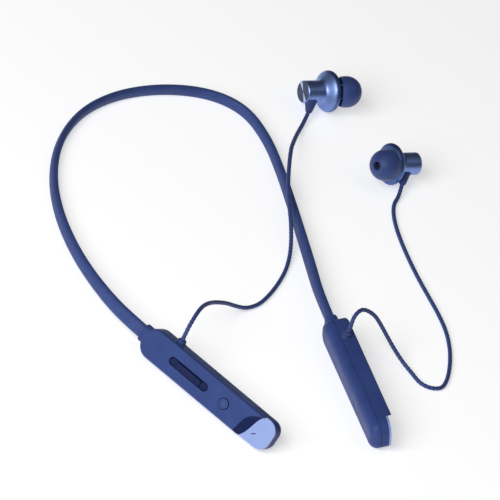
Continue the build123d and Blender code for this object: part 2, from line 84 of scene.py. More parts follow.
CORD_ROUTES = {
    "left": [
        (-38.13, -8.41, 14.29), (-38.13, -8.41, 17.09),
        (-37.0, -7.5, 19.9), (-34.6, -5.8, 22.0), (-30.9, -3.1, 22.6), (-25.6, 0.6, 21.4),
        (-19.4, 4.4, 18.6), (-12.6, 8.2, 15.0), (-5.3, 11.3, 11.3), (2.0, 13.9, 7.5),
        (9.0, 15.3, 3.8), (15.6, 15.8, 1.3), (23.2, 17.3, 0.95), (31.6, 21.8, 0.95),
        (40.2, 27.6, 0.95), (48.6, 34.4, 0.95), (55.2, 42.2, 2.5), (59.7, 51.2, 6.5),
        (64.0, 61.2, 9.4), (70.4, 71.6, 10.0), (82.8, 87.7, 10.0), (90.9, 95.1, 7.0),
        (101.0, 103.8, 2.3), (108.24, 109.49, 1.41), (111.69, 112.59, 3.91),
    ],
    "right": [
        (37.83, -16.01, 14.29), (37.83, -16.01, 17.09),
        (38.4, -14.8, 19.8), (40.9, -13.4, 21.7), (44.8, -12.2, 21.7), (50.3, -13.5, 19.1),
        (54.8, -14.7, 14.4), (59.0, -16.6, 9.4), (62.8, -19.3, 4.8), (65.4, -23.8, 1.7),
        (66.4, -29.2, 0.95), (66.3, -34.4, 0.95), (68.2, -37.5, 0.95), (71.5, -39.1, 0.95),
        (75.2, -38.8, 0.95), (80.4, -34.6, 0.95), (86.1, -28.1, 0.95), (91.9, -19.9, 0.95),
        (96.7, -10.5, 0.95), (99.6, -0.8, 0.95), (101.6, 9.6, 0.95), (104.0, 21.6, 0.95),
        (107.5, 34.6, 0.95), (111.4, 46.2, 0.95), (115.6, 55.0, 0.95), (120.0, 60.9, 0.95),
        (124.46, 63.88, 1.41), (127.48, 67.73, 3.91),
    ],
}


def in_row(point):
    """A plan position, in millimetres, as a point of the row frame, in metres."""
    return (Vector(point) + SHIFT) * MM


# ------------------------------------------------------------------ mesh helpers
def piece(name, mesh, material, body, slot, *replaced):
    """Put a finished mesh in the scene as one piece of the object."""
    thing = bpy.data.objects.new(name, mesh)
    bpy.context.scene.collection.objects.link(thing)
    mesh.materials.append(material)
    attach(thing, body)
    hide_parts(*replaced)
    return thing


def skin(name, rings, joined=False, sharp=40):
    """A closed mesh over rings of points. Its ends are capped, or joined to each other."""
    rings = np.asarray(rings, float)
    count, around = rings.shape[:2]
    index = np.arange(count * around).reshape(count, around)
    rows = index if not joined else np.vstack([index, index[:1]])
    faces = []
    for low, high in zip(rows, rows[1:]):
        for here in range(around):
            there = (here + 1) % around
            faces.append((low[here], low[there], high[there], high[here]))
    if not joined:
        faces.append(tuple(index[0][::-1]))
        faces.append(tuple(index[-1]))
    mesh = bpy.data.meshes.new(name)
    faces = [tuple(map(int, face)) for face in faces]
    mesh.from_pydata(rings.reshape(-1, 3).tolist(), [], faces)
    tidy = bmesh.new()
    tidy.from_mesh(mesh)
    bmesh.ops.recalc_face_normals(tidy, faces=tidy.faces)
    tidy.to_mesh(mesh)
    tidy.free()
    mesh.polygons.foreach_set("use_smooth", [True] * len(mesh.polygons))
    mesh.set_sharp_from_angle(angle=math.radians(sharp))
    return mesh


def across(axis, hint=UP):
    """Two directions square to an axis, the first as near as can be to the hint."""
    axis = Vector(axis).normalized()
    first = (Vector(hint) - axis * axis.dot(Vector(hint))).normalized()
    return first, axis.cross(first)


def lathe(name, profile, centre, axis, around=96, joined=False, sharp=40):
    """Turn a profile of (radius, distance along the axis), in millimetres."""
    axis = Vector(axis).normalized()
    first, second = across(axis, UP if abs(axis.z) < 0.9 else Vector((1, 0, 0)))
    angles = np.linspace(0, 2 * math.pi, around, endpoint=False)
    circle = np.outer(np.cos(angles), first) + np.outer(np.sin(angles), second)
    rings = [
        np.array(centre) + MM * (along * np.array(axis) + radius * circle)
        for radius, along in profile
    ]
    return skin(name, rings, joined, sharp)


def arc(centre, radius, start, end, steps=8):
    """Points of an arc in a profile, by angles in degrees from the radius axis."""
    points = []
    for step in range(steps + 1):
        turn = math.radians(start + (end - start) * step / steps)
        points.append((centre[0] + radius * math.cos(turn), centre[1] + radius * math.sin(turn)))
    return points


def evenly(line, step):
    """A line's points, spaced evenly along it, and how far along it each one is."""
    line = np.asarray(line, float)
    gone = np.concatenate([[0], np.cumsum(np.linalg.norm(np.diff(line, axis=0), axis=1))])
    places = np.linspace(0, gone[-1], int(round(gone[-1] / step)) + 1)
    return np.stack([np.interp(places, gone, line[:, k]) for k in range(3)], axis=1), places


def smooth_line(name, points, step):
    """The line of a NURBS spline that has a route's points as its control points."""
    curve = bpy.data.curves.new(name, "CURVE")
    curve.dimensions = "3D"
    spline = curve.splines.new("NURBS")
    spline.points.add(len(points) - 1)
    for control, point in zip(spline.points, points):
        control.co = (*point, 1.0)
    spline.order_u = 3
    spline.use_endpoint_u = True
    spline.resolution_u = 48
    holder = bpy.data.objects.new(name, curve)
    bpy.context.scene.collection.objects.link(holder)
    depsgraph = bpy.context.evaluated_depsgraph_get()
    mesh = bpy.data.meshes.new_from_object(holder.evaluated_get(depsgraph))
    line = [vertex.co.copy() for vertex in mesh.vertices]
    bpy.data.objects.remove(holder)
    bpy.data.curves.remove(curve)
    bpy.data.meshes.remove(mesh)
    return evenly(line, step)


def carried_frames(line):
    """Directions square to a line at each of its points, that turn as little as they can."""
    tangents = np.gradient(line, axis=0)
    tangents /= np.linalg.norm(tangents, axis=1)[:, None]
    first = np.array(across(tangents[0], Vector((1, 0, 0)))[0])
    firsts = []
    for tangent in tangents:
        first = first - tangent * first.dot(tangent)
        first /= np.linalg.norm(first)
        firsts.append(first)
    firsts = np.array(firsts)
    return firsts, np.cross(tangents, firsts)


def blended(values, share):
    """A value between the first and the last, eased along the way, at a share from 0 to 1."""
    share = np.clip(share, 0, 1)
    return values[0] + (values[1] - values[0]) * share * share * (3 - 2 * share)


# ------------------------------------------------------------------ node helpers
class Finish:
    """One material under construction: a Principled shader and the nodes that feed it."""

    def __init__(self, name, color, roughness, metallic=0.0):
        self.material = bpy.data.materials.new(name)
        self.material.use_nodes = True
        self.tree = self.material.node_tree
        self.shader = self.tree.nodes["Principled BSDF"]
        self.shader.inputs["Base Color"].default_value = (*color, 1)
        self.shader.inputs["Roughness"].default_value = roughness
        self.shader.inputs["Metallic"].default_value = metallic
        self.color = color
        self.material.diffuse_color = (*color, 1)
        self.place = self.node("ShaderNodeTexCoord").outputs["Object"]

    def node(self, kind, settings=None, **inputs):
        """A new node with its settings and its inputs, spaces written as underlines."""
        made = self.tree.nodes.new(kind)
        for name, value in (settings or {}).items():
            setattr(made, name, value)
        for name, value in inputs.items():
            self.put(made.inputs[name.replace("_", " ")], value)
        return made

    def put(self, socket, value):
        """Link a socket to another, or give it a plain value."""
        if isinstance(value, bpy.types.NodeSocket):
            self.tree.links.new(value, socket)
        else:
            socket.default_value = value

    def sum(self, operation, *values):
        made = self.tree.nodes.new("ShaderNodeMath")
        made.operation = operation
        for socket, value in zip(made.inputs, values):
            self.put(socket, value)
        return made.outputs[0]

    def vector(self, operation, *values):
        made = self.tree.nodes.new("ShaderNodeVectorMath")
        made.operation = operation
        for socket, value in zip(made.inputs, values):
            self.put(socket, value)
        return made

    def noise(self, size, detail=2.0, place=None, **inputs):
        """Noise from 0 to 1 whose features are about that many millimetres across."""
        made = self.node("ShaderNodeTexNoise", Scale=1 / (size * MM), Detail=detail, **inputs)
        self.put(made.inputs["Vector"], place or self.place)
        return made.outputs[0]

    def cells(self, size, randomness=1.0):
        """Distance to the nearest of scattered points, about that many millimetres apart."""
        scale = 1 / (size * MM)
        made = self.node("ShaderNodeTexVoronoi", Vector=self.place, Scale=scale, Randomness=randomness)
        return made.outputs["Distance"]

    def spread(self, value, low, high, to_low, to_high):
        """Map a value from one range to another, held at the ends."""
        ends = {"From_Min": low, "From_Max": high, "To_Min": to_low, "To_Max": to_high}
        return self.node("ShaderNodeMapRange", {"clamp": True}, Value=value, **ends).outputs["Result"]

    def mix(self, share, first, second):
        """A colour between two colours."""
        made = self.node("ShaderNodeMix", {"data_type": "RGBA"})
        self.put(made.inputs["Factor"], share)
        for socket, color in ((made.inputs["A"], first), (made.inputs["B"], second)):
            self.put(socket, color if isinstance(color, bpy.types.NodeSocket) else (*color, 1))
        return made.outputs["Result"]

    def tone(self, factor):
        """This material's colour, lighter or darker."""
        return tuple(min(1.0, part * factor) for part in self.color)

    def bump(self, *heights):
        """Relief from (height, depth in millimetres) pairs, one over the other."""
        normal = None
        for height, depth in heights:
            made = self.node("ShaderNodeBump", Height=height, Distance=depth * MM, Strength=1.0)
            if normal is not None:
                self.put(made.inputs["Normal"], normal)
            normal = made.outputs["Normal"]
        self.put(self.shader.inputs["Normal"], normal)

    def edges(self, radius):
        """1 along an outer or inner edge, falling to 0 within that many millimetres."""
        rounded = self.node("ShaderNodeBevel", {"samples": 6}, Radius=radius * MM).outputs[0]
        normal = self.node("ShaderNodeNewGeometry").outputs["Normal"]
        likeness = self.vector("DOT_PRODUCT", rounded, normal).outputs["Value"]
        return self.spread(likeness, 0.995, 0.8, 0.0, 1.0)

    def local(self, origin, matrix):
        """Coordinates in a frame of the object's own, from its origin and its three axes."""
        made = self.node("ShaderNodeMapping", {"vector_type": "TEXTURE"})
        made.inputs["Location"].default_value = origin
        made.inputs["Rotation"].default_value = matrix.to_euler()
        self.put(made.inputs["Vector"], self.place)
        return made.outputs[0]

    def stretched(self, place, scale):
        """Coordinates scaled along each axis: a small scale draws a pattern out."""
        return self.vector("MULTIPLY", place, scale).outputs[0]

    def set(self, **sockets):
        """Set or link the shader's own sockets."""
        for name, value in sockets.items():
            self.put(self.shader.inputs[name.replace("_", " ")], value)
        return self


# ------------------------------------------------------------------ materials
NAVY = (0.034, 0.062, 0.215)
# painted shade for the pods' step that faces the tip
STEP_SHADE_NAVY = (0.002, 0.010, 0.070)
KEY_NAVY = (0.048, 0.080, 0.240)
# the key plastic darkened by painted shade, for the rocker sunk in its slot
ROCKER_SHADE_NAVY = (0.006, 0.013, 0.070)
RUBBER_NAVY = (0.036, 0.062, 0.200)
PALE_BLUE = (0.290, 0.385, 0.740)
# one anodised finish in two copies: painted shade darkens the bulb's, painted light lightens the barrel's
BULB_SHADED_BLUE = (0.090, 0.150, 0.370)
BARREL_LIT_BLUE = (0.200, 0.290, 0.600)
CAP_BLUE = (0.300, 0.380, 0.620)
BLACK = (0.012, 0.013, 0.018)
STEEL = (0.55, 0.55, 0.57)
DARK_STEEL = (0.10, 0.11, 0.14)


def soft_touch(name, color, roughness, grain=0.16):
    """Moulded plastic with a satin lacquer: fine grain, faint clouding, lighter worn edges."""
    finish = Finish(name, color, roughness)
    clouds = finish.noise(9.0, 3.0)
    base = finish.mix(finish.spread(clouds, 0.35, 0.65, 0, 1), finish.tone(0.93), finish.tone(1.07))
    wear = finish.spread(finish.noise(2.2, 4.0), 0.40, 0.70, 0.1, 0.6)
    base = finish.mix(finish.sum("MULTIPLY", finish.edges(0.18), wear), base, finish.tone(1.5))
    fine = finish.noise(grain, 3.0)
    smears = finish.spread(finish.noise(5.0, 4.0), 0.30, 0.70, roughness - 0.05, roughness + 0.05)
    finish.bump((fine, 0.012), (finish.noise(14.0, 1.0), 0.05))
    finish.set(Base_Color=base, Roughness=smears, Specular_IOR_Level=0.17)
    return finish


def silicone(name, color, roughness, speckle=0.0):
    """Smooth silicone with a powdery sheen, or with the band's speckled grain."""
    finish = Finish(name, color, roughness)
    clouds = finish.spread(finish.noise(6.0, 3.0), 0.35, 0.65, 0, 1)
    base = finish.mix(clouds, finish.tone(0.92), finish.tone(1.08))
    heights = [(finish.noise(0.12, 2.0), 0.006), (finish.noise(7.0, 2.0), 0.06)]
    if speckle:
        specks = finish.cells(0.42)
        base = finish.mix(finish.spread(specks, 0.10, 0.42, speckle, 0), base, finish.tone(1.9))
        pits = finish.spread(finish.noise(0.55, 3.0), 0.52, 0.66, 0, speckle)
        base = finish.mix(pits, base, finish.tone(0.55))
        heights.append((specks, 0.035))
    finish.bump(*heights)
    rough = finish.spread(finish.noise(3.0, 3.0), 0.3, 0.7, roughness - 0.06, roughness + 0.06)
    finish.set(Base_Color=base, Roughness=rough, Specular_IOR_Level=0.32)
    finish.set(Sheen_Weight=0.05, Sheen_Roughness=0.5, Sheen_Tint=(0.55, 0.65, 1.0, 1.0))
    return finish


def cable_jacket():
    """Matte jacket with the fine drag lines of extrusion and a little dust."""
    finish = Finish("cable_jacket", NAVY, 0.55)
    dust = finish.spread(finish.noise(0.5, 4.0), 0.55, 0.75, 0, 0.35)
    base = finish.mix(dust, finish.tone(0.95), finish.tone(1.5))
    finish.bump((finish.noise(0.18, 3.0), 0.012))
    finish.set(Base_Color=base, Specular_IOR_Level=0.35)
    finish.set(Sheen_Weight=0.04, Sheen_Roughness=0.5, Sheen_Tint=(0.6, 0.7, 1.0, 1.0))
    return finish.material


def turned_metal(name, color, roughness, bud):
    """Anodised aluminium with the hair lines of turning round its axis."""
    finish = Finish(name, color, roughness, metallic=1.0)
    place = finish.local(bud.middle, bud.axes)
    lines = finish.noise(0.06, 2.0, finish.stretched(place, (1.0, 0.02, 0.02)))
    bands = finish.noise(1.6, 2.0, finish.stretched(place, (1.0, 0.05, 0.05)))
    base = finish.mix(finish.spread(bands, 0.3, 0.7, 0, 1), finish.tone(0.92), finish.tone(1.08))
    base = finish.mix(finish.spread(lines, 0.4, 0.7, 0, 0.25), base, finish.tone(1.5))
    base = finish.mix(finish.sum("MULTIPLY", finish.edges(0.12), 0.5), base, finish.tone(2.0))
    finish.bump((lines, 0.004), (finish.noise(0.10, 2.0), 0.003))
    rough = finish.spread(lines, 0.3, 0.7, roughness - 0.05, roughness + 0.07)
    finish.set(Base_Color=base, Roughness=rough, Anisotropic=0.3)
    return finish.material


PAINTED_BEAM_PHASE = 4.0        # radians, turns the painted highlight beams about the cap's middle


def spun_metal(bud):
    """Spun face under blue anodising with fine concentric cuts, and two bright beams painted into its colour as
    painted highlights.
    """
    finish = Finish(f"{bud.side}_spun_cap", CAP_BLUE, 0.30, metallic=1.0)
    place = finish.local(bud.cap_face, bud.axes)
    flat = finish.stretched(place, (0.0, 1.0, 1.0))
    radius = finish.vector("LENGTH", flat).outputs["Value"]
    rings = finish.node("ShaderNodeCombineXYZ", X=radius).outputs[0]
    cuts = finish.noise(0.05, 1.0, rings)
    tracks = finish.spread(finish.noise(0.35, 1.0, rings), 0.35, 0.65, 0, 1)
    parts = finish.node("ShaderNodeSeparateXYZ", Vector=flat).outputs
    angle = finish.sum("ARCTAN2", parts["Y"], parts["Z"])
    # painted highlights: the two bright beams that the cuts reflect, painted into the colour
    painted_beams = finish.sum("SINE", finish.sum("MULTIPLY_ADD", angle, 2.0, PAINTED_BEAM_PHASE))
    painted_highlight_sectors = finish.spread(painted_beams, 0.82, 1.0, 0, 1)
    base = finish.mix(tracks, finish.tone(0.16), finish.tone(0.30))
    base = finish.mix(painted_highlight_sectors, base, finish.tone(1.7))
    finish.bump((cuts, 0.006))
    tangent = finish.node("ShaderNodeTangent", {"direction_type": "UV_MAP"}).outputs[0]
    finish.set(Base_Color=base, Tangent=tangent, Anisotropic=0.9)
    return finish.material


def plain_metal(name, color, roughness):
    """Rolled steel sheet: fine grain one way, a few dull patches."""
    finish = Finish(name, color, roughness, metallic=1.0)
    grain = finish.noise(0.12, 2.0, finish.stretched(finish.place, (0.1, 1.0, 1.0)))
    patches = finish.spread(finish.noise(3.0, 3.0), 0.4, 0.7, 0, 1)
    base = finish.mix(patches, finish.tone(0.9), finish.tone(1.05))
    finish.bump((grain, 0.004))
    rough = finish.spread(grain, 0.3, 0.7, roughness - 0.08, roughness + 0.08)
    return finish.set(Base_Color=base, Roughness=rough).material


def circuit_board():
    """Green solder mask over straight tracks, with tinned pads."""
    finish = Finish("circuit_board", (0.020, 0.160, 0.070), 0.35)
    tracks = finish.node("ShaderNodeTexBrick", Scale=400.0, Mortar_Size=0.03)
    finish.put(tracks.inputs["Vector"], finish.place)
    lines = tracks.outputs["Fac"]
    base = finish.mix(lines, finish.color, finish.tone(1.8))
    pads = finish.spread(finish.cells(1.3, randomness=0.4), 0.12, 0.16, 1, 0)
    base = finish.mix(pads, base, (0.70, 0.69, 0.66))
    finish.bump((lines, 0.02), (pads, 0.03))
    return finish.set(Base_Color=base).material


def foil_pouch():
    """Battery foil with the creases of its folded edges."""
    finish = Finish("cell_pouch", (0.70, 0.71, 0.73), 0.32, metallic=1.0)
    creases = finish.noise(4.0, 4.0, Distortion=0.6)
    base = finish.mix(finish.spread(creases, 0.4, 0.6, 0, 1), finish.tone(0.9), finish.color)
    finish.bump((creases, 0.25), (finish.noise(0.2, 2.0), 0.005))
    return finish.set(Base_Color=base).material


def foam():
    """Closed-cell foam: round pores of uneven size."""
    finish = Finish("foam", (0.045, 0.045, 0.050), 0.95)
    pores = finish.cells(0.45)
    base = finish.mix(finish.spread(pores, 0.1, 0.4, 1, 0), finish.tone(1.5), finish.tone(0.5))
    finish.bump((pores, 0.15))
    return finish.set(Base_Color=base).material


def frosted_lens():
    """Cloudy light pipe and diaphragm film."""
    finish = Finish("lens", (0.85, 0.85, 0.80), 0.35)
    haze = finish.noise(0.8, 3.0)
    base = finish.mix(finish.spread(haze, 0.3, 0.7, 0, 1), finish.tone(0.92), finish.color)
    finish.bump((haze, 0.01))
    return finish.set(Base_Color=base, Transmission_Weight=0.3).material


def accent_lacquer():
    """Pale blue pearl lacquer with fine flake."""
    finish = Finish("accent_plate", PALE_BLUE, 0.40)
    flake = finish.cells(0.14)
    base = finish.mix(finish.spread(flake, 0.1, 0.5, 0.35, 0), finish.color, finish.tone(1.35))
    clouds = finish.spread(finish.noise(5.0, 3.0), 0.3, 0.7, 0, 1)
    base = finish.mix(finish.sum("MULTIPLY", clouds, 0.12), base, finish.tone(0.75))
    finish.bump((flake, 0.004), (finish.noise(8.0, 1.0), 0.03))
    rough = finish.spread(finish.noise(2.5, 4.0), 0.3, 0.7, 0.34, 0.46)
    finish.set(Base_Color=base, Roughness=rough, Metallic=0.15)
    finish.set(Coat_Weight=0.15, Coat_Roughness=0.25)
    return finish.material


# ------------------------------------------------------------------ places on the object
CAP_TO_MIDDLE = 11.8
TIP_SEAT = (5.4, 4.2)   # forward of the bud's middle, and to where the nozzle leans


class Bud:
    """One earbud's own frame, read from its clasp face and its ear tip's joint."""

    def __init__(self, side):
        mount = MOUNTS[f"{side}_magnetic_cap"]
        self.side = side
        self.forward = -Vector(mount["axis"])
        self.cap_face = Vector(mount["pos_m"])
        self.nozzle = Vector(JOINTS[f"{side}_tip_pull"]["axis"])
        self.lean = across(self.forward, self.nozzle)[0]
        self.middle = self.cap_face + self.forward * CAP_TO_MIDDLE * MM
        self.tip_seat = self.middle + (self.forward * TIP_SEAT[0] + self.lean * TIP_SEAT[1]) * MM
        self.axes = Matrix((self.forward, self.lean.cross(self.forward), self.lean)).transposed()


BUDS = [Bud("left"), Bud("right")]


def pod_axes(side):
    """A pod's directions: to its tip, out of its face, and out of the side that the cord leaves."""
    tip = Vector((-side * math.sin(POD_CONVERGE), -math.cos(POD_CONVERGE), 0))
    level = Vector((side * math.cos(POD_CONVERGE), -math.sin(POD_CONVERGE), 0))
    face = level * math.cos(POD_LEAN) + UP * math.sin(POD_LEAN)
    cord_side = level * -math.sin(POD_LEAN) + UP * math.cos(POD_LEAN)
    return tip, face, cord_side


# ------------------------------------------------------------------ cords
TWIST_PITCH = 3.4       # one full turn of the two cores under the jacket
TWIST_DEPTH = 0.07      # share of the radius


def cord(side, material):
    """A jacket drawn over two twisted cores, along the route's spline."""
    route = [in_row(point) for point in CORD_ROUTES[side]]
    line, places = smooth_line(f"{side}_cord_line", route, 0.25 * MM)
    first, second = carried_frames(line)
    turn = 2 * math.pi * places / (TWIST_PITCH * MM)
    lobes = 1 - TWIST_DEPTH + TWIST_DEPTH * np.cos(2 * (CORD_ANGLES[None, :] - turn[:, None]))
    radius = CORD_D / 2 * MM * lobes
    rings = (
        line[:, None, :]
        + (radius * np.cos(CORD_ANGLES))[:, :, None] * first[:, None, :]
        + (radius * np.sin(CORD_ANGLES))[:, :, None] * second[:, None, :]
    )
    mesh = skin(f"{side}_twisted_cord", rings)
    thing = piece(f"{side}_twisted_cord", mesh, material, "headset", "cable_jacket", f"{side}_cord")


# ------------------------------------------------------------------ band
BAND_HALF = {"pod": (1.75, 2.8), "back": (1.45, 2.3)}   # level and upright half sizes
BAND_CAD_HALF = 2.7
BAND_TAPER = 130.0      # length over which it thins, from each pod
BAND_INTO_POD = 3.0
BAND_LEAN_LENGTH = 45.0 # length over which it rights itself from the pods' lean
BAND_FLANK = 0.88       # under 1, the oval's flanks are a little flatter than an ellipse's
PARTING_LINE = 0.07     # height of the ridge
PARTING_WIDTH = 0.05    # share of the section's half width


def band(material):
    """Silicone band, thicker at the pods, with the fine ridge of its mould's parting line."""
    ends = []
    for side in (-1, 1):
        tip = pod_axes(side)[0]
        ends.append(in_row(BAND_ENDS[side] + tip * BAND_INTO_POD))
    route = [ends[0], *map(in_row, BAND_ROUTE), ends[1]]
    line, places = smooth_line("band_line", route, 0.8 * MM)
    total = places[-1]
    near_pod = np.minimum(places, total - places) / MM
    thin = near_pod / BAND_TAPER
    half_level, half_upright = [
        blended((at_pod, at_back), thin) * MM
        for at_pod, at_back in zip(BAND_HALF["pod"], BAND_HALF["back"])
    ]
    lift = np.clip((4.0 * MM - line[:, 2]) / (1.3 * MM), 0, 1)
    line[:, 2] += (half_upright - BAND_CAD_HALF * MM) * lift
    tangents = np.gradient(line, axis=0)
    tangents /= np.linalg.norm(tangents, axis=1)[:, None]
    lean = blended((1.0, 0.0), near_pod / BAND_LEAN_LENGTH)[:, None]
    sides = np.where(places < total / 2, -1, 1)
    cord_sides = np.array([np.array(pod_axes(side)[2]) for side in (-1, 1)])[(sides + 1) // 2]
    upright = cord_sides * lean + np.array(UP) * (1 - lean)
    upright -= tangents * np.sum(upright * tangents, axis=1)[:, None]
    upright /= np.linalg.norm(upright, axis=1)[:, None]
    level = np.cross(tangents, upright)
    angles = np.linspace(0, 2 * math.pi, 64, endpoint=False)
    cosine = np.sign(np.cos(angles)) * np.abs(np.cos(angles)) ** BAND_FLANK
    sine = np.sign(np.sin(angles)) * np.abs(np.sin(angles)) ** BAND_FLANK
    near_parting = np.exp(-((np.abs(np.cos(angles)) / PARTING_WIDTH) ** 2))
    ridge = PARTING_LINE * MM * near_parting * np.sign(np.sin(angles))
    rings = (
        line[:, None, :]
        + (half_level[:, None] * cosine)[:, :, None] * level[:, None, :]
        + (half_upright[:, None] * sine + ridge)[:, :, None] * upright[:, None, :]
    )
    mesh = skin("neckband_silicone", rings)
    piece("neckband_silicone", mesh, material, "headset", "band_silicone", "neckband_sleeve")


# ------------------------------------------------------------------ rubber pieces
def grommet(pod, material):
    """Cord exit: a foot in the casing, a waist, and a rolled rim round the cord."""
    low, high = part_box(f"{pod}_grommet")
    base = Vector(((low.x + high.x) / 2, (low.y + high.y) / 2, high.z - 2.0 * MM))
    profile = [(0.3, -1.7), (1.5, -1.7), (1.5, -0.7), (1.95, -0.7)]
    profile += arc((1.70, 0.30), 0.25, 0, 90, 5)
    profile += [(1.42, 0.60), (1.36, 0.85)]
    profile += arc((1.42, 1.35), 0.38, -60, 75, 8)
    profile += [(1.15, 1.86)] + arc((1.0, 1.86), 0.14, 0, 90, 4) + [(0.3, 2.0)]
    mesh = lathe(f"{pod}_cord_grommet", profile, base, UP, 72)
    piece(f"{pod}_cord_grommet", mesh, material, "headset", "soft_rubber", f"{pod}_grommet")


BOOT_DIRECTION = Vector((-0.55, -0.70, -0.455)).normalized()
BOOT_ROOT = (2.45, 1.85)        # half sizes where it leaves the barrel
BOOT_END = (1.30, 1.25)
BOOT_INSIDE = 3.7               # the root is this far off the barrel's axis, inside its wall
BOOT_STATIONS = (0.0, 0.03, 0.07, 0.12, 0.2, 0.3, 0.4, 0.5, 0.6, 0.7, 0.8, 0.87, 0.9)
BOOT_LIP = ((0.94, 0.02), (0.975, 0.06), (0.99, 0.14), (1.0, 0.28))


def boot(bud, material):
    """Flattened rubber boot, moulded against the barrel, with a rounded lip at the cord."""
    end = in_row(CORD_ROUTES[bud.side][-1])
    rings = []
    for share in BOOT_STATIONS:
        flare = 0.25 * math.exp(-((share / 0.12) ** 2))
        sizes = [root + (tip - root) * share + flare for root, tip in zip(BOOT_ROOT, BOOT_END)]
        rings.append(boot_ring(bud, end, share, *sizes))
    for share, inset in BOOT_LIP:
        rings.append(boot_ring(bud, end, share, BOOT_END[0] - inset, BOOT_END[1] - inset))
    mesh = skin(f"{bud.side}_boot", rings)
    piece(f"{bud.side}_boot", mesh, material, "headset", "soft_rubber", f"{bud.side}_strain_relief")


def boot_ring(bud, end, share, half_wide, half_narrow):
    """One section of a boot. Each of its points starts from the barrel's wall."""
    wide, narrow = across(BOOT_DIRECTION, bud.forward)
    points = []
    for angle in np.linspace(0, 2 * math.pi, 64, endpoint=False):
        offset = (wide * half_wide * math.cos(angle) + narrow * half_narrow * math.sin(angle)) * MM
        foot = end + offset
        out = BOOT_DIRECTION - bud.forward * BOOT_DIRECTION.dot(bud.forward)
        depth = foot - bud.middle
        depth -= bud.forward * depth.dot(bud.forward)
        back = (depth.dot(out.normalized()) - BOOT_INSIDE * MM) / out.length
        points.append(foot - BOOT_DIRECTION * back * (1 - share))
    return points


# ------------------------------------------------------------------ ear tips, caps and grilles
DOME_RADIUS, DOME_HEIGHT = 6.1, 6.05
DOME_START, DOME_END = 66.0, -4.0       # degrees up from the widest part


def ear_tip(bud, material):
    """Silicone dome with a rolled sound hole, a thin flexible skirt and a stem inside."""
    profile = [(2.45, -1.7), (2.45, 3.4), (2.2, 3.5), (1.62, 3.6), (1.55, 4.0), (1.55, 5.3)]
    profile += arc((1.95, 5.38), 0.40, 180, 75, 8)
    for step in range(26):
        turn = math.radians(DOME_START + (DOME_END - DOME_START) * step / 25)
        profile.append((DOME_RADIUS * math.cos(turn) ** 0.92, DOME_HEIGHT * math.sin(turn)))
    profile += [(6.07, -0.9), (6.0, -1.4), (5.92, -1.9)]
    profile += arc((5.66, -2.25), 0.20, 15, -165, 6)
    profile += [(5.40, -1.9), (5.46, -1.2), (5.50, -0.4), (5.45, 0.5)]
    profile += [(5.25, 1.6), (4.85, 2.6), (4.3, 3.4), (3.7, 3.9)]
    profile += [(3.25, 4.0), (3.05, 3.8), (3.0, 3.2), (3.0, -1.5)]
    profile += arc((2.75, -1.6), 0.25, 0, -90, 4)
    mesh = lathe(f"{bud.side}_silicone_tip", profile, bud.tip_seat, bud.nozzle, 128, joined=True)
    body = f"{bud.side}_ear_tip"
    piece(f"{bud.side}_silicone_tip", mesh, material, body, "tip_silicone", f"{bud.side}_ear_tip")


CUTS, CUTS_WIDTH = 26, 3.45


def spun_cap(bud):
    """Clasp face: a dished disc with concentric cuts and a bright chamfered rim."""
    profile = [(0.02, 0.10)]
    pitch = CUTS_WIDTH / CUTS
    for cut in range(CUTS):
        inner = 0.12 + CUTS_WIDTH * cut / CUTS
        profile += [(inner, 0.10), (inner + pitch * 0.55, 0.085), (inner + pitch * 0.95, 0.10)]
    profile += [(3.62, 0.09), (3.70, 0.02), (3.86, 0.0), (3.98, 0.03)]
    profile += [(4.05, 0.12), (4.05, 0.68), (0.02, 0.68)]
    mesh = lathe(f"{bud.side}_spun_cap", profile, bud.cap_face, bud.forward, 128, sharp=30)
    layer = mesh.uv_layers.new(name="turning")
    first, second = across(bud.forward)
    for loop in mesh.loops:
        offset = mesh.vertices[loop.vertex_index].co - bud.cap_face
        angle = math.atan2(offset.dot(second), offset.dot(first))
        layer.data[loop.index].uv = (angle / (2 * math.pi) + 0.5, offset.length / (4 * MM))
    for face in mesh.polygons:
        around = [layer.data[index].uv for index in face.loop_indices]
        if len(around) == 4 and max(uv.x for uv in around) - min(uv.x for uv in around) > 0.5:
            for uv in around:
                if uv.x < 0.5:
                    uv.x += 1.0
    name = f"{bud.side}_spun_cap"
    piece(name, mesh, spun_metal(bud), "headset", "spun_cap", f"{bud.side}_rear_cap")


GRILLE_FORWARD = 3.15
GRILLE_SIZES = (1.55, 0.07, 0.30)       # radius of the bore, of a wire, and the wires' pitch


def sound_grille(bud, material):
    """Woven wire cloth across the nozzle."""
    seat = bud.tip_seat + bud.nozzle * GRILLE_FORWARD * MM
    first, second = across(bud.nozzle, bud.forward)
    woven = bmesh.new()
    bore, wire, pitch = GRILLE_SIZES
    count = int(bore / pitch)
    for warp, (along, over) in enumerate(((first, second), (second, first))):
        for row in range(-count, count + 1):
            reach = math.sqrt(bore ** 2 - (row * pitch) ** 2)
            points = []
            for step in range(33):
                place = reach * (2 * step / 32 - 1)
                rise = wire * math.cos(math.pi * (place / pitch + row + warp))
                offset = along * place + over * row * pitch + bud.nozzle * rise
                points.append(seat + offset * MM)
            add_wire(woven, points, wire * MM, bud.nozzle)
    mesh = bpy.data.meshes.new(f"{bud.side}_wire_grille")
    woven.to_mesh(mesh)
    woven.free()
    mesh.polygons.foreach_set("use_smooth", [True] * len(mesh.polygons))
    piece(f"{bud.side}_wire_grille", mesh, material, "headset", "bare_steel", f"{bud.side}_nozzle_mesh")


def add_wire(mesh, points, radius, up):
    """A thin wire of six sides through the points, with closed ends."""
    rings = []
    for index, point in enumerate(points):
        ahead = points[min(index + 1, len(points) - 1)] - points[max(index - 1, 0)]
        first, second = across(ahead, up)
        ring = []
        for corner in range(6):
            turn = corner * math.pi / 3
            out = first * math.cos(turn) + second * math.sin(turn)
            ring.append(mesh.verts.new(point + out * radius))
        rings.append(ring)
    for low, high in zip(rings, rings[1:]):
        for corner in range(6):
            after = (corner + 1) % 6
            mesh.faces.new((low[corner], low[after], high[after], high[corner]))
    mesh.faces.new(rings[0][::-1])
    mesh.faces.new(rings[-1])


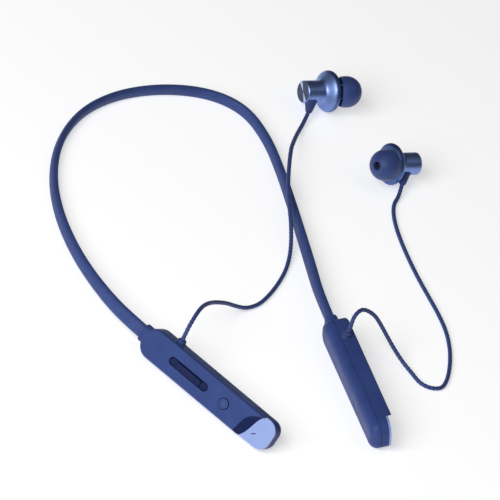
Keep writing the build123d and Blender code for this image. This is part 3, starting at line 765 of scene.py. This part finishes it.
# ------------------------------------------------------------------ finishes of the CAD pieces
def paint_frame(finishes):
    """Give every CAD node the finish of its slot, or its own where it has one."""
    slots = {part["node"]: part["material_slot"] for part in RECORD["subparts"]}
    for name, node in NODES.items():
        material = finishes.get(name) or finishes[slots[name]]
        for slot in node.material_slots:
            slot.material = material


STEP_REACH = (49.5, 61.2)       # the step's extent, in millimetres from the band end


def casing_finish(pod, side):
    """A pod's satin casing, with painted shade near black on the curved step that faces the tip."""
    tip = tuple(pod_axes(side)[0])
    finish = soft_touch(f"{pod}_casing", NAVY, 0.46)
    normal = finish.node("ShaderNodeTexCoord").outputs["Normal"]
    facing = finish.vector("DOT_PRODUCT", normal, tip).outputs["Value"]
    from_band = finish.vector("SUBTRACT", finish.place, tuple(in_row(BAND_ENDS[side]))).outputs[0]
    along = finish.vector("DOT_PRODUCT", from_band, tip).outputs["Value"]
    near, far = (reach * MM for reach in STEP_REACH)
    past_near = finish.spread(along, near, near + 0.5 * MM, 0, 1)
    before_far = finish.spread(along, far, far - 0.4 * MM, 0, 1)
    at_step = finish.sum("MULTIPLY", past_near, before_far)
    # painted shade: the step's surfaces that face the tip turn near black
    painted_step_shade = finish.sum("MULTIPLY", at_step, finish.spread(facing, 0.08, 0.18, 0, 1))
    color = finish.shader.inputs["Base Color"].links[0].from_socket
    finish.set(Base_Color=finish.mix(painted_step_shade, color, STEP_SHADE_NAVY))
    return finish.material


def make_finishes():
    """Every material, under its slot's name, or under its node's where that differs."""
    finishes = {
        "key_plastic": soft_touch("key_plastic", KEY_NAVY, 0.38, 0.12).material,
        # painted shade: the rocker gets a darker copy of the key plastic
        "volume_rocker": soft_touch("rocker_plastic_painted_shade", ROCKER_SHADE_NAVY, 0.50, 0.12).material,
        "grille_steel": plain_metal("grille_steel", DARK_STEEL, 0.45),
        "accent_plate": accent_lacquer(),
        "band_silicone": silicone("band_silicone", NAVY, 0.62, speckle=0.5).material,
        "tip_silicone": silicone("tip_silicone", NAVY, 0.48).material,
        "soft_rubber": silicone("soft_rubber", RUBBER_NAVY, 0.58, speckle=0.25).material,
        "cable_jacket": cable_jacket(),
        "black_plastic": soft_touch("black_plastic", BLACK, 0.55).material,
        "bare_steel": plain_metal("bare_steel", STEEL, 0.35),
        "circuit_board": circuit_board(),
        "lens": frosted_lens(),
        "cell_pouch": foil_pouch(),
        "foam": foam(),
    }
    for pod, side in (("control_pod", -1), ("battery_pod", 1)):
        casing = casing_finish(pod, side)
        for part in ("face_shell", "back_shell", "collar"):
            finishes[f"{pod}_{part}"] = casing
    for bud in BUDS:
        # one anodised finish: the barrel's copy is lightened by painted light, the bulb's darkened by painted
        # shade
        metal = turned_metal(f"{bud.side}_bud_metal_painted_light", BARREL_LIT_BLUE, 0.42, bud)
        bulb = turned_metal(f"{bud.side}_bulb_metal_painted_shade", BULB_SHADED_BLUE, 0.46, bud)
        finishes[f"{bud.side}_front_housing"] = bulb
        finishes[f"{bud.side}_rear_housing"] = metal
        finishes[f"{bud.side}_rear_cap"] = metal
    return finishes


# ------------------------------------------------------------------ floor, light and camera
VIEW_TURN = math.radians(220.66)    # bearing of the camera from the object, from +X
VIEW_RISE = math.radians(33.97)
VIEW_ROLL = math.radians(25.49)
VIEW_CENTRE = Vector((-39.06, -17.31, 30.29)) * MM
VIEW_WIDTH = 188.93 * MM
LENS = 1500.0                       # long, for an almost parallel view
SENSOR = 36.0
FLOOR_HALF = 4.0
FLOOR_TONES = (0.895, 0.905)
FLOOR_GLOW = 0.50                   # keeps the floor pale under a light that comes from the front


def view_axes():
    """The camera's right, up and back directions."""
    back = Vector((
        math.cos(VIEW_RISE) * math.cos(VIEW_TURN),
        math.cos(VIEW_RISE) * math.sin(VIEW_TURN),
        math.sin(VIEW_RISE),
    ))
    up, _ = across(back)
    right = up.cross(back)
    rolled = right * math.cos(VIEW_ROLL) + up * math.sin(VIEW_ROLL)
    return rolled, back.cross(rolled), back


def camera():
    """The camera that the main view is taken with."""
    right, up, back = view_axes()
    data = bpy.data.cameras.new("camera")
    data.lens = LENS
    data.sensor_width = SENSOR
    distance = VIEW_WIDTH * LENS / SENSOR
    data.clip_start = 0.1
    data.clip_end = 20.0
    thing = bpy.data.objects.new("camera", data)
    bpy.context.scene.collection.objects.link(thing)
    turn = Matrix((right, up, back)).transposed().to_4x4()
    thing.matrix_world = Matrix.Translation(VIEW_CENTRE + back * distance) @ turn
    bpy.context.scene.camera = thing


def floor():
    """A plain pale floor, a little uneven in tone."""
    mesh = bpy.data.meshes.new("floor")
    half = FLOOR_HALF
    corners = [(-half, -half, 0), (half, -half, 0), (half, half, 0), (-half, half, 0)]
    mesh.from_pydata(corners, [], [(0, 1, 2, 3)])
    thing = bpy.data.objects.new("floor", mesh)
    bpy.context.scene.collection.objects.link(thing)
    finish = Finish("floor", (0.90, 0.90, 0.90), 0.9)
    clouds = finish.spread(finish.noise(120.0, 2.0), 0.3, 0.7, 0, 1)
    low, high = ((tone, tone, tone) for tone in FLOOR_TONES)
    finish.set(Base_Color=finish.mix(clouds, low, high), Specular_IOR_Level=0.1)
    finish.set(Emission_Color=(1.0, 1.0, 1.0, 1.0), Emission_Strength=FLOOR_GLOW)
    mesh.materials.append(finish.material)


def area_light(name, direction, distance, size, power):
    """A soft panel that looks at the object's middle."""
    low, high = CAD_BOX
    middle = (low + high) / 2
    data = bpy.data.lights.new(name, "AREA")
    data.shape = "RECTANGLE"
    data.size, data.size_y = size
    data.energy = power
    thing = bpy.data.objects.new(name, data)
    bpy.context.scene.collection.objects.link(thing)
    direction = Vector(direction).normalized()
    thing.location = middle + direction * distance
    thing.rotation_mode = "QUATERNION"
    thing.rotation_quaternion = direction.to_track_quat("Z", "Y")


def light():
    """A large panel beside the camera, weak ones above and to the right, and a dim room."""
    right, up, back = view_axes()
    area_light("front_panel", back + up * 0.20 - right * 0.30, 1.4, (0.8, 0.8), 15)
    area_light("top_panel", UP + up * 0.3, 1.3, (1.0, 1.0), 0.7)
    area_light("side_strip", right * 0.9 + UP * 0.9, 1.2, (0.2, 1.0), 0.6)
    world = bpy.data.worlds.new("studio")
    bpy.context.scene.world = world
    world.use_nodes = True
    background = world.node_tree.nodes["Background"]
    background.inputs["Color"].default_value = (1, 1, 1, 1)
    background.inputs["Strength"].default_value = 0.07
    view = bpy.context.scene.view_settings
    view.view_transform = "Standard"
    view.look = "None"


# ------------------------------------------------------------------ the whole scene
camera()
finishes = make_finishes()
paint_frame(finishes)
for side in ("left", "right"):
    cord(side, finishes["cable_jacket"])
band(finishes["band_silicone"])
for pod in ("control_pod", "battery_pod"):
    grommet(pod, finishes["soft_rubber"])
for bud in BUDS:
    boot(bud, finishes["soft_rubber"])
    ear_tip(bud, finishes["tip_silicone"])
    spun_cap(bud)
    sound_grille(bud, finishes["grille_steel"])
floor()
light()
